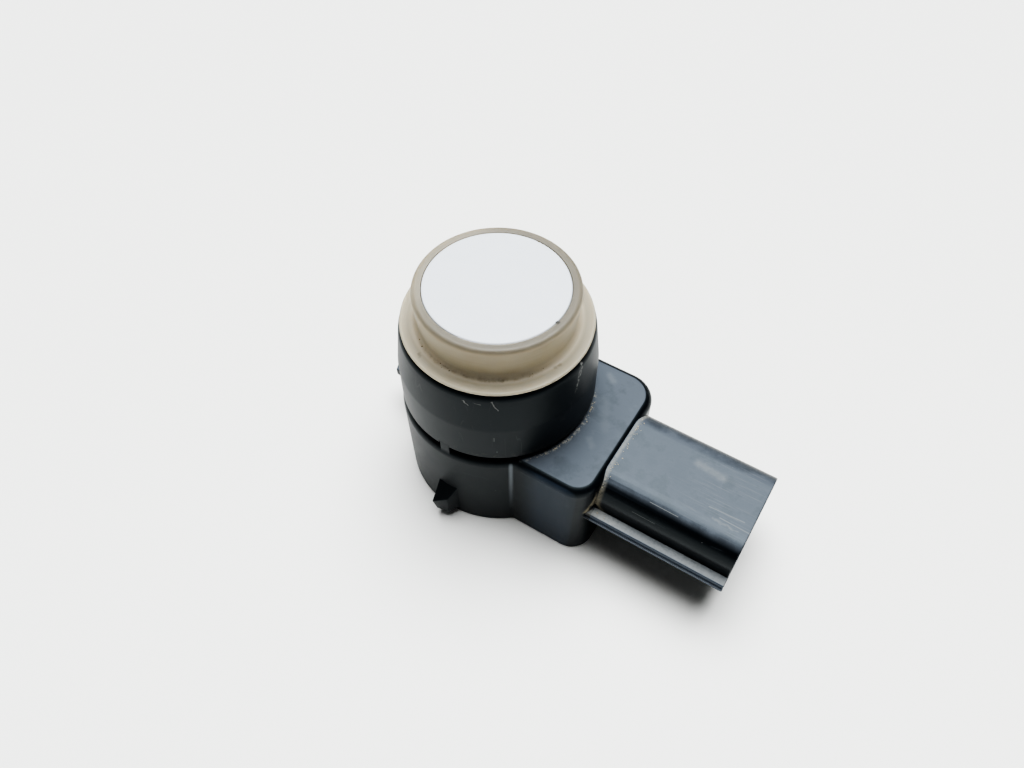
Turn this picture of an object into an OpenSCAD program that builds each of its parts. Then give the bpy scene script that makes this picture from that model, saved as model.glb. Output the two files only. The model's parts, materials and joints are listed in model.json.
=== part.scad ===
// Parking sensor: an ultrasonic transducer on a moulded housing with a plug connector at its side.
// Millimetres. The origin is on the barrel's axis at the rear face, +Z is the sensing direction
// and +X points along the connector.

/* [Transducer] */
// Diameter of the round sensing face
face_d = 15.5; // [13.5:0.1:17.5]
// Thickness of the membrane behind the face
membrane_t = 0.8; // [0.5:0.05:1.2]
// Wall of the cup at its thin sides
cup_wall = 1; // [0.7:0.05:1.3]
// How far the collar at the cup's foot stands out
foot_out = 0.8; // [0.4:0.05:1.1]
// Height of the collar at the cup's foot
foot_h = 1.5; // [1:0.1:2.5]
// Diameter of the piezo disc
piezo_d = 7.6; // [6:0.1:9]
// Thickness of the piezo disc
piezo_t = 0.5; // [0.3:0.05:0.8]
// Room beside the piezo disc in the cup's oval hollow
piezo_margin = 0.5; // [0.3:0.05:0.8]
// Rounding of the face's edge
face_edge_r = 0.12; // [0.05:0.01:0.3]
// Diameter of the two leads
lead_d = 0.5; // [0.3:0.05:0.7]
// How far the signal lead sits in from the piezo disc's edge
signal_in = 1.5; // [1:0.1:2.5]
// How far the ground lead sits in from the ring's lip
ground_in = 1.1; // [0.8:0.05:1.5]

/* [Decoupling ring] */
// Height of the bare neck between the flange and the face
neck_h = 4.5; // [3:0.1:6]
// Wall of the neck at its rim
neck_wall = 0.75; // [0.6:0.05:1]
// Radius of the rim's rounded edge
rim_r = 0.3; // [0.1:0.05:0.4]
// How much the neck's radius shrinks from the rim to the flange
neck_taper = 0.22; // [0.05:0.01:0.3]
// Fillet between the neck and the flange
neck_fillet = 0.45; // [0.2:0.05:0.8]
// Thickness of the flange that laps over the sleeve
flange_t = 0.4; // [0.3:0.05:0.8]
// How far the flange's edge stays inside the sleeve's outline
flange_in = 0.15; // [0.05:0.05:0.4]
// Depth of the skirt inside the sleeve
skirt_h = 6; // [5:0.1:7.5]
// Wall of the skirt
skirt_wall = 1.75; // [1.5:0.05:2.2]
// Thickness of the lip under the cup
lip_t = 1; // [0.6:0.1:1.6]
// How far the lip reaches in under the cup
lip_in = 0.85; // [0.5:0.05:1.2]
// Gap between the ring and the parts that it fits
ring_fit = 0.05; // [0.02:0.01:0.1]

/* [Front sleeve] */
// Wall of the sleeve at its straight part
sleeve_wall = 1.6; // [1.2:0.05:2.2]
// Height of the straight lower part
straight_h = 4.8; // [3:0.1:7]
// How much the sleeve's radius shrinks towards its top
sleeve_taper = 0.6; // [0.2:0.05:0.8]
// Radius of the sleeve's rounded shoulder
shoulder_r = 0.7; // [0.3:0.05:0.8]
// Chamfer on the sleeve's lower edge
sleeve_edge = 0.14; // [0.05:0.01:0.25]
// Groove that shows between the sleeve and the housing
groove_gap = 0.42; // [0.2:0.02:0.8]
// Width of the two keys that bridge the groove
key_w = 0.9; // [0.5:0.1:2]
// Height of a key above the groove
key_h = 0.5; // [0.3:0.1:1.2]
// Gap round a key in its notch
key_fit = 0.04; // [0.02:0.01:0.1]
// Thickness of the transducer holder
holder_t = 2; // [1.2:0.1:3]
// Depth of the holder's spigot in the collar
spigot_h = 1.5; // [0.8:0.1:2]
// Height of the housing's collar inside the sleeve
collar_h = 2.5; // [2:0.1:3.5]
// Wall of the collar
collar_wall = 2.35; // [1.8:0.05:2.6]
// Thickness of the seal ring on the collar
seal_d = 0.9; // [0.6:0.05:1.2]
// Gap round the seal ring in its groove
seal_fit = 0.03; // [0.01:0.01:0.06]

/* [Housing] */
// How far the barrel stays inside the sleeve's outline
barrel_step = 0.15; // [0.05:0.05:0.5]
// Wall of the housing
wall = 1.6; // [1.2:0.05:2]
// Thickness of the housing's top
top_wall = 1.8; // [1.3:0.1:2.5]
// Rounding of the housing's top edge
edge_r = 0.55; // [0.3:0.05:0.8]
// Room above the board for its components
component_room = 7.2; // [6:0.1:9]
// Diameter of the posts that clamp the board
post_d = 1.8; // [1.2:0.1:2.4]

/* [Side block] */
// How far the block stands out past the barrel
block_out = 5.35; // [4:0.05:7]
// Width of the block
block_w = 16.7; // [14:0.1:19]
// Radius of the block's upright corners
block_corner_r = 2.2; // [1:0.1:3]

/* [Connector] */
// Length of the shroud past the block
conn_l = 16.2; // [14:0.1:20]
// Width of the shroud
conn_w = 12.5; // [11:0.1:14]
// Height of the shroud
conn_h = 8.4; // [7.5:0.1:10]
// Step from the housing's top down to the shroud's top
conn_drop = 1; // [0.5:0.1:2]
// Radius of the shroud's upper corners
conn_top_r = 2.8; // [2:0.1:3.2]
// Radius of the shroud's lower corners
conn_low_r = 1.6; // [1.4:0.1:2.5]
// Wall of the shroud
conn_wall = 1.2; // [0.9:0.05:1.3]
// Thickness of the socket's floor past the block's face
socket_floor = 1.6; // [1:0.1:3]
// Step from the shroud's top down to the rails' tops
rail_drop = 4.5; // [3.5:0.1:5]
// Height of a rail
rail_h = 1; // [0.6:0.1:1.6]
// How far a rail stands out
rail_out = 1.2; // [0.6:0.05:1.6]
// How far the lip along a rail's lower edge stands out
rail_lip = 0.18; // [0.1:0.02:0.3]
// Height of that lip
rail_lip_h = 0.33; // [0.2:0.01:0.5]
// Width of the latch catch under the shroud
catch_w = 4; // [2.5:0.1:6]
// Length of the catch's ramp
catch_l = 2.6; // [1.5:0.1:4]
// Height of the catch
catch_out = 1; // [0.5:0.1:1.5]
// Distance of the catch from the mouth
catch_in = 2.5; // [1:0.1:5]

/* [Terminals] */
// Distance between neighbouring pins
pin_pitch = 2.5; // [2:0.1:3]
// Thickness of a pin
pin_t = 0.64; // [0.5:0.02:0.8]
// Distance of the pin tips from the mouth
pin_recess = 4.7; // [4.5:0.1:7]
// Length of a pin's taper at its tip
pin_taper = 0.8; // [0.4:0.1:1.5]
// Thickness of a pin's tip
pin_tip_t = 0.21; // [0.1:0.01:0.3]
// Length of a pin or lead that shows under the board
pin_tail = 0.8; // [0.4:0.1:1.2]
// Distance of the pins' legs from the block's inner wall
leg_in = 2.2; // [1.5:0.1:2.8]

/* [Latching lugs] */
// Width of a lug at the barrel
lug_w = 2.9; // [1.8:0.05:4]
// How far a side lug stands out
lug_out = 2.9; // [1.5:0.05:3.5]
// How far the rear lug stands out
rear_lug_out = 4.8; // [2:0.05:5.5]
// Height of a side lug's top at the barrel
lug_z = 5.4; // [5:0.1:7]
// Height of the rear lug's top at the barrel
rear_lug_z = 6.9; // [5.5:0.1:8]
// Drop of a lug's top from the barrel to its tip
lug_drop = 0.85; // [0.5:0.05:1.5]
// Height of a lug at its root
lug_h = 3.9; // [3:0.1:4.5]
// Height of a lug at its tip
lug_tip_h = 0.3; // [0.2:0.05:1]
// How far a lug's end is cut back towards its foot
lug_cut = 1.15; // [0.5:0.05:1.4]
// Distance of a lug's point from its middle
lug_point = 0.74; // [0.4:0.02:0.9]
// Distance of a lug's blunt corner from its middle
lug_blunt = 0.8; // [0.4:0.02:0.9]
// How far the blunt corner stays behind the point
lug_skew = 1.1; // [0.3:0.05:1.2]

/* [Circuit board] */
// Thickness of the rear cover
cover_t = 1.5; // [1:0.1:2.2]
// Width of the ledge that the cover seats on
ledge_w = 0.7; // [0.4:0.05:0.9]
// Gap round the rear cover
cover_fit = 0.1; // [0.05:0.01:0.2]
// Room under the board
board_gap = 2.5; // [1.8:0.1:4]
// Thickness of the circuit board
board_t = 1; // [0.6:0.1:1.6]
// Gap round the circuit board
board_fit = 0.3; // [0.1:0.05:0.5]
// Gap round a pin or lead in a hole
hole_fit = 0.1; // [0.05:0.01:0.2]
// Width of the transformer's core
core_w = 5.4; // [4.6:0.1:6.5]
// Height of the transformer's core
core_h = 4.6; // [4:0.1:5.5]
// Thickness of the core's two plates and outer legs
core_t = 0.9; // [0.6:0.05:1.1]
// Diameter of the core's middle leg
core_leg_d = 1.6; // [1.2:0.1:2]
// Distance of the transformer's core from the barrel's rear side
core_in = 4.85; // [4:0.05:5.5]
// Gap between the winding and the core
coil_fit = 0.15; // [0.05:0.05:0.25]
// Width of the driver chip
chip_w = 4.6; // [3.5:0.1:5.5]
// Height of the driver chip
chip_h = 1; // [0.6:0.1:1.6]
// Distance of the driver chip's middle from the barrel's outline
chip_in = 3.2; // [2.8:0.1:3.6]

/* [Hidden] */
$fn = 64;
// Amount by which joined shapes run into each other and cuts run past a face
lap = 0.4;
// Smallest corner radius of an outline that is drawn in
least_corner = 0.3;
// Directions of the board's posts in the barrel, in degrees from the connector's side
post_angles = [67, 135];

// Radii, from the sensing face outwards
cup_r = face_d / 2;
neck_r = cup_r + ring_fit + neck_wall;
bore_r = cup_r + ring_fit + skirt_wall + ring_fit;
sleeve_r = bore_r + sleeve_wall;
sleeve_top_r = sleeve_r - sleeve_taper;
flange_r = sleeve_top_r - flange_in;
lip_r = cup_r - lip_in;
collar_r = bore_r - ring_fit;
collar_in_r = collar_r - collar_wall;
barrel_r = sleeve_r - barrel_step;
hollow_r = cup_r - cup_wall;
hollow_w = piezo_d + 2 * piezo_margin;
neck_base_r = neck_r - neck_taper;

// Heights, from the rear face to the sensing face
board_z = cover_t + board_gap;
board_top = board_z + board_t;
cavity_top = board_top + component_room;
housing_h = cavity_top + top_wall;
sleeve_z = housing_h + groove_gap;
collar_top = housing_h + collar_h;
holder_top = collar_top + holder_t;
sleeve_top = holder_top + skirt_h;
flange_z = sleeve_top + flange_t;
face_z = flange_z + neck_h;
cup_z = holder_top + lip_t;
piezo_z = face_z - membrane_t - piezo_t;
cone_z = sleeve_z + straight_h;

// Lean of the sleeve's cone, and the middle of the shoulder's circle, which touches the cone and the top
cone_lean = atan(sleeve_taper / (sleeve_top - cone_z));
shoulder_at = [sleeve_top_r - shoulder_r * (1 - sin(cone_lean)) / cos(cone_lean), sleeve_top - shoulder_r];

// Side block and connector
block_x = barrel_r + block_out;
mouth_x = block_x + conn_l;
conn_top = housing_h - conn_drop;
conn_low = conn_top - conn_h;
socket_x = block_x + socket_floor;
pin_z = conn_low + conn_h / 2;
leg_x = block_x - wall - leg_in;
pin_hole_d = pin_t * sqrt(2) + 2 * hole_fit;
recess_in = wall - ledge_w;

// Places of the leads, seen from the front
lead_hole_d = lead_d + 2 * hole_fit;
signal_at = [piezo_d / 2 - signal_in, 0];
ground_at = [0, lip_r - ground_in];

// Small components on the board: length, width and height
storage_size = [3.4, 2.4, 1.9];
filter_size = [2, 1.2, 0.9];
resistor_size = [0.8, 1.6, 0.45];
diode_size = [1.4, 2.4, 1];

// Their distances from the barrel's outline and axis, and the steps in their rows
storage_in = 2.6;
chip_shift = 0.5;
row_y = 5;
filter_pitch = 2.7;
filter_shift = -0.5;
resistor_pitch = 1.4;
resistor_start = 1.6;
resistor_slant = 0.2;

// Their places, seen from the front
chip_at = [barrel_r - chip_in, chip_shift - chip_w / 2];
core_at = [core_in + core_w / 2 - barrel_r, 0];
storage_at = [barrel_r - storage_in, storage_size.y];
filter_at = [for (i = [-1:1]) [i * filter_pitch + filter_shift, -row_y]];
resistor_at = [for (i = [0:3]) [i * resistor_pitch + resistor_start, row_y - i * resistor_slant]];
diode_at = [3.9, -0.5];

// Disc of radius r and height h with its top edge rounded
module rounded_disc(r, h, edge) {
    rotate_extrude() {
        square([r - edge, h]);
        square([r, h - edge]);
        translate([r - edge, h - edge]) circle(edge);
    }
}

// Strip of half width w and height h with both upper edges rounded
module arched_strip(w, h, edge) {
    translate([-w, 0]) square([2 * w, h - edge]);
    translate([edge - w, 0]) square([2 * (w - edge), h]);
    for (side = [-1, 1]) translate([side * (w - edge), h - edge]) circle(edge);
}

// Outline of the barrel and block from above, drawn in by an inset
module keyhole(inset) {
    half_w = block_w / 2 - inset;
    reach = block_x - inset;
    corner = max(block_corner_r - inset, least_corner);
    circle(barrel_r - inset);
    translate([0, -half_w]) square([reach - corner, 2 * half_w]);
    translate([0, corner - half_w]) square([reach, 2 * (half_w - corner)]);
    for (side = [-1, 1]) translate([reach - corner, side * (half_w - corner)]) circle(corner);
}

// Block with upright round corners and a rounded top edge
module side_block() {
    half_w = block_w / 2;
    corner = block_corner_r;
    rotate([90, 0, 90]) linear_extrude(block_x - corner) arched_strip(half_w, housing_h, edge_r);
    translate([0, half_w - corner, 0]) rotate([90, 0, 0]) linear_extrude(2 * (half_w - corner))
        intersection() {
            arched_strip(block_x, housing_h, edge_r);
            square([block_x, housing_h]);
        }
    for (side = [-1, 1]) translate([block_x - corner, side * (half_w - corner), 0])
        rounded_disc(corner, housing_h, edge_r);
}

// Section of the shroud across the connector, drawn in by an inset
module shroud_section(inset) {
    w = conn_w / 2 - inset;
    top = conn_top - inset;
    low = conn_low + inset;
    top_r = conn_top_r - inset;
    low_r = conn_low_r - inset;
    translate([-w, low + low_r]) square([2 * w, top - top_r - low - low_r]);
    translate([top_r - w, low + low_r]) square([2 * (w - top_r), top - low - low_r]);
    translate([low_r - w, low]) square([2 * (w - low_r), top - top_r - low]);
    for (side = [-1, 1]) {
        translate([side * (w - top_r), top - top_r]) circle(top_r);
        translate([side * (w - low_r), low + low_r]) circle(low_r);
    }
}

// Section of both guide rails, each with a fine lip along its lower edge
module rail_section() {
    reach = conn_w / 2 + rail_out;
    top = conn_top - rail_drop;
    translate([-reach, top - rail_h]) square([2 * reach, rail_h]);
    translate([-reach - rail_lip, top - rail_h]) square([2 * (reach + rail_lip), rail_lip_h]);
}

// Stretches a section along the connector from one x to another
module along_connector(from, to) {
    translate([from, 0, 0]) rotate([90, 0, 90]) linear_extrude(to - from) children();
}

// Wedge under the shroud that a plug's latch snaps over
module latch_catch() {
    high = mouth_x - catch_in - catch_l;
    translate([0, catch_w / 2, conn_low]) rotate([90, 0, 0]) linear_extrude(catch_w)
        polygon([[high, lap], [high, -catch_out], [high + catch_l, 0], [high + catch_l, lap]]);
}

// Lug that stands out along +X, pointed at its -Y side, with a sloping top and an end cut back at its foot
module lug(out, z) {
    root = barrel_r - wall / 2;
    tip = barrel_r + out;
    intersection() {
        linear_extrude(housing_h)
            polygon([[root, -lug_w / 2], [tip, -lug_point], [tip - lug_skew, lug_blunt], [root, lug_w / 2]]);
        translate([0, lug_w, 0]) rotate([90, 0, 0]) linear_extrude(2 * lug_w)
            polygon([[root, z], [barrel_r, z], [tip, z - lug_drop], [tip, z - lug_drop - lug_tip_h],
                [tip - lug_cut, z - lug_h], [root, z - lug_h]]);
    }
}

// Places of the posts that clamp the board, each drawn in from the cavity's wall
module at_posts(inset) {
    for (side = [-1, 1]) {
        for (a = post_angles) rotate(side * a) translate([barrel_r - wall - inset, 0, 0]) children();
        translate([block_x - wall - inset, side * (block_w / 2 - wall - inset), 0]) children();
    }
}

// Keys on the housing's rim, grown by a gap for their notches
module keys(grow) {
    low = housing_h - edge_r - lap;
    for (side = [-1, 1]) translate([-key_w / 2 - grow, side > 0 ? bore_r + lap / 2 : -sleeve_r - grow, low])
        cube([key_w + 2 * grow, sleeve_wall - lap / 2 + grow, sleeve_z + key_h + grow - low]);
}

module at_pins() {
    for (i = [-1:1]) translate([0, i * pin_pitch, 0]) children();
}

module housing() {
    color("#1c1d20") difference() {
        union() {
            rounded_disc(barrel_r, housing_h, edge_r);
            side_block();
            cylinder(r = collar_r, h = collar_top);
            intersection() {
                keys(0);
                cylinder(r = barrel_r - key_fit, h = sleeve_top);
            }
            along_connector(block_x - wall, mouth_x) {
                shroud_section(0);
                rail_section();
            }
            latch_catch();
            rotate(-90) lug(lug_out, lug_z);
            mirror([0, 1, 0]) rotate(-90) lug(lug_out, lug_z);
            rotate(180) lug(rear_lug_out, rear_lug_z);
        }
        difference() {
            translate([0, 0, -lap]) linear_extrude(cavity_top + lap) keyhole(wall);
            translate([0, 0, board_top]) at_posts(post_d / 4) cylinder(d = post_d, h = housing_h);
        }
        translate([0, 0, -lap]) linear_extrude(cover_t + lap) keyhole(recess_in);
        cylinder(r = collar_in_r, h = collar_top + lap);
        seal_groove();
        along_connector(socket_x, mouth_x + lap) shroud_section(conn_wall);
        at_pins() translate([leg_x, -pin_t / 2, pin_z - pin_t / 2]) cube([conn_l, pin_t, pin_t]);
    }
}

module seal_groove() {
    floor_r = bore_r - seal_d - 2 * seal_fit;
    w = seal_d + 2 * seal_fit;
    translate([0, 0, seal_z() - w / 2]) difference() {
        cylinder(r = sleeve_r, h = w);
        translate([0, 0, -lap]) cylinder(r = floor_r, h = w + 2 * lap);
    }
}

function seal_z() = (sleeve_z + collar_top) / 2;

module seal_ring() {
    color("#3a2a24") translate([0, 0, seal_z()]) rotate_extrude()
        translate([bore_r - seal_fit - seal_d / 2, 0]) circle(d = seal_d);
}

module front_sleeve() {
    inner = bore_r - lap;
    color("#101113") difference() {
        rotate_extrude() difference() {
            union() {
                polygon([[inner, sleeve_z], [sleeve_r - sleeve_edge, sleeve_z],
                    [sleeve_r, sleeve_z + sleeve_edge], [sleeve_r, cone_z],
                    shoulder_at + shoulder_r * [cos(cone_lean), sin(cone_lean)],
                    [shoulder_at.x, sleeve_top], [inner, sleeve_top]]);
                translate(shoulder_at) circle(shoulder_r);
            }
            square([bore_r, face_z]);
        }
        keys(key_fit);
    }
}

module decoupling_ring() {
    inner = cup_r + ring_fit;
    foot = inner + foot_out;
    color("#b9ad97") rotate_extrude() difference() {
        union() {
            polygon([[lip_r, holder_top], [bore_r - ring_fit, holder_top], [bore_r - ring_fit, sleeve_top],
                [flange_r, sleeve_top], [flange_r - flange_in, flange_z], [neck_base_r, flange_z],
                [neck_r, face_z - rim_r], [neck_r - rim_r, face_z], [lip_r, face_z]]);
            translate([neck_r - rim_r, face_z - rim_r]) circle(rim_r);
            translate([neck_base_r - neck_taper, flange_z]) difference() {
                square([neck_taper + neck_fillet, neck_fillet]);
                translate([neck_taper + neck_fillet, neck_fillet]) circle(neck_fillet);
            }
        }
        translate([0, cup_z]) square([inner, face_z]);
        translate([0, cup_z]) square([foot, foot_h + ring_fit]);
    }
}

module membrane_cup() {
    color("#dfe3ea") difference() {
        translate([0, 0, cup_z]) {
            rounded_disc(cup_r, face_z - cup_z, face_edge_r);
            cylinder(r = cup_r + foot_out, h = foot_h);
        }
        translate([0, 0, cup_z - lap]) linear_extrude(face_z - membrane_t - cup_z + lap) cup_hollow(0);
    }
}

// Oval hollow of the cup, which shapes the beam, drawn in by an inset
module cup_hollow(inset) {
    intersection() {
        circle(hollow_r - inset);
        square([2 * hollow_r, hollow_w - 2 * inset], center = true);
    }
}

module piezo_disc() {
    color("#d9c9a0") translate([0, 0, piezo_z]) cylinder(d = piezo_d, h = piezo_t);
}

module damping_plug() {
    color("#8d8f94") difference() {
        translate([0, 0, cup_z]) linear_extrude(piezo_z - cup_z) cup_hollow(ring_fit);
        translate([signal_at.x, signal_at.y, cup_z - lap]) cylinder(d = lead_hole_d, h = face_z);
    }
}

module transducer_holder() {
    color("#2a2c30") difference() {
        union() {
            translate([0, 0, collar_top - spigot_h]) cylinder(r = collar_in_r - ring_fit, h = spigot_h + lap);
            translate([0, 0, collar_top]) cylinder(r = collar_r, h = holder_t);
            translate([0, 0, collar_top]) cylinder(r = lip_r - ring_fit, h = holder_t + lip_t);
        }
        for (at = [signal_at, ground_at]) translate([at.x, at.y, 0]) cylinder(d = lead_hole_d, h = face_z);
    }
}

// Straight lead from under the board up to a height
module lead(at, top) {
    translate([at.x, at.y, board_z - pin_tail]) cylinder(d = lead_d, h = top - board_z + pin_tail);
}

module signal_lead() {
    color("#c07a3e") lead(signal_at, piezo_z);
}

module ground_lead() {
    color("#c07a3e") lead(ground_at, cup_z);
}

module circuit_board() {
    color("#1f5a3a") difference() {
        translate([0, 0, board_z]) linear_extrude(board_t) keyhole(wall + board_fit);
        for (at = [signal_at, ground_at]) translate([at.x, at.y, 0]) cylinder(d = lead_hole_d, h = housing_h);
        at_pins() translate([leg_x, 0, 0]) cylinder(d = pin_hole_d, h = housing_h);
    }
}

// Block that stands on the board
module on_board(at, size) {
    translate([at.x - size.x / 2, at.y - size.y / 2, board_top]) cube(size);
}

module driver_chip() {
    color("#17181a") on_board(chip_at, [chip_w, chip_w, chip_h]);
}

module transformer_core() {
    window = core_h - 2 * core_t;
    color("#4a4c50") {
        difference() {
            on_board(core_at, [core_w, core_w, core_h]);
            translate([core_at.x, core_at.y, board_top + core_t])
                linear_extrude(window) square([core_w + 2 * lap, core_w - 2 * core_t], center = true);
        }
        translate([core_at.x, core_at.y, board_top]) cylinder(d = core_leg_d, h = core_h);
    }
}

module transformer_winding() {
    window = core_h - 2 * core_t;
    color("#b5652b") translate([core_at.x, core_at.y, board_top + core_t]) difference() {
        cylinder(r = core_w / 2 - core_t - coil_fit, h = window - coil_fit);
        translate([0, 0, -lap]) cylinder(d = core_leg_d + 2 * coil_fit, h = core_h);
    }
}

module storage_capacitor() {
    color("#c8a240") on_board(storage_at, storage_size);
}

module filter_capacitors() {
    color("#9c7a55") for (at = filter_at) on_board(at, filter_size);
}

module resistors() {
    color("#202226") for (at = resistor_at) on_board(at, resistor_size);
}

module protection_diode() {
    color("#26282c") on_board(diode_at, diode_size);
}

// Square pin bent down from the socket to the board
module pin(row) {
    half = pin_t / 2;
    tip = mouth_x - pin_recess;
    color("#c9b36a") translate([0, row * pin_pitch + half, 0]) rotate([90, 0, 0]) linear_extrude(pin_t)
        polygon([[leg_x - half, board_z - pin_tail], [leg_x + half, board_z - pin_tail],
            [leg_x + half, pin_z - half], [tip - pin_taper, pin_z - half], [tip, pin_z - pin_tip_t / 2],
            [tip, pin_z + pin_tip_t / 2], [tip - pin_taper, pin_z + half], [leg_x - half, pin_z + half]]);
}

module supply_pin() {
    pin(-1);
}

module data_pin() {
    pin(0);
}

module ground_pin() {
    pin(1);
}

module rear_cover() {
    color("#222428") {
        linear_extrude(cover_t) keyhole(recess_in + cover_fit);
        at_posts(post_d / 2 + cover_fit) cylinder(d = post_d, h = board_z);
    }
}

housing();
front_sleeve();
decoupling_ring();
membrane_cup();
piezo_disc();
damping_plug();
transducer_holder();
seal_ring();
signal_lead();
ground_lead();
circuit_board();
driver_chip();
transformer_core();
transformer_winding();
storage_capacitor();
filter_capacitors();
resistors();
protection_diode();
supply_pin();
data_pin();
ground_pin();
rear_cover();
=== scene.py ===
import json
import math

import bmesh
import bpy
import numpy as np
from mathutils import Matrix


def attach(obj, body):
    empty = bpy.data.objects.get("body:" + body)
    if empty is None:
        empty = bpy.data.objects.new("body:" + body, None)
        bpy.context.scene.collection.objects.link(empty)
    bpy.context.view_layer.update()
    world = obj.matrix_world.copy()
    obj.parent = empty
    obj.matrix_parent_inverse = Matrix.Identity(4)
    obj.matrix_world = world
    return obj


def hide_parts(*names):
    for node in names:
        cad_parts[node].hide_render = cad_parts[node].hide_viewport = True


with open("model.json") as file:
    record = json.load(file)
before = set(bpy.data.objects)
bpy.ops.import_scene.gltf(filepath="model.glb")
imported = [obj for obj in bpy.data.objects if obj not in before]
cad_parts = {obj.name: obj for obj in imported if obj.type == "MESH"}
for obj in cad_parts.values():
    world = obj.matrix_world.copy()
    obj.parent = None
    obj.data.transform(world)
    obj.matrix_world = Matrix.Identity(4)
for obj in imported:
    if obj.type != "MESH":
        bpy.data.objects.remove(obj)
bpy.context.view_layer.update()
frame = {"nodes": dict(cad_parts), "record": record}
nodes = frame["nodes"]
mm = 0.001
rng = np.random.default_rng(41)
print("frame loaded with", len(nodes), "nodes")


# camera, at the photograph's angle
cameraView = {
    "place": (0.0328496, -0.0495049, 0.0923238),  # metres
    "heading": 2.1311993,  # radians from +X
    "down": 0.93063,
    "roll": -0.0034489,
    "focalPixels": 844.0,
    "pixelsWide": 1024,
    "sensor": 36.0,  # millimetres
    "clip": (0.005, 20.0),
}


def makeCamera(view):
    data = bpy.data.cameras.new("photoCamera")
    data.sensor_fit, data.sensor_width = "HORIZONTAL", view["sensor"]
    data.lens = view["focalPixels"] / view["pixelsWide"] * view["sensor"]
    data.clip_start, data.clip_end = view["clip"]
    camera = bpy.data.objects.new("photoCamera", data)
    turn = (Matrix.Rotation(view["heading"] - math.pi / 2, 4, "Z")
            @ Matrix.Rotation(math.pi / 2 - view["down"], 4, "X")
            @ Matrix.Rotation(view["roll"], 4, "Z"))
    camera.matrix_world = Matrix.Translation(view["place"]) @ turn
    bpy.context.scene.collection.objects.link(camera)
    bpy.context.scene.camera = camera


makeCamera(cameraView)
bpy.context.scene.view_settings.view_transform = "AgX"
bpy.context.scene.view_settings.look = "AgX - High Contrast"
print("camera set")


# shader maths: a Value is one socket, and arithmetic on it adds Math nodes
class Value:
    def __init__(self, finish, socket):
        self.finish, self.socket = finish, socket

    def __add__(self, other):
        return self.finish.math("ADD", self, other)

    def __sub__(self, other):
        return self.finish.math("SUBTRACT", self, other)

    def __rsub__(self, other):
        return self.finish.math("SUBTRACT", other, self)

    def __mul__(self, other):
        return self.finish.math("MULTIPLY", self, other)

    def __truediv__(self, other):
        return self.finish.math("DIVIDE", self, other)

    def __abs__(self):
        return self.finish.math("ABSOLUTE", self)

    __radd__, __rmul__ = __add__, __mul__


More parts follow.
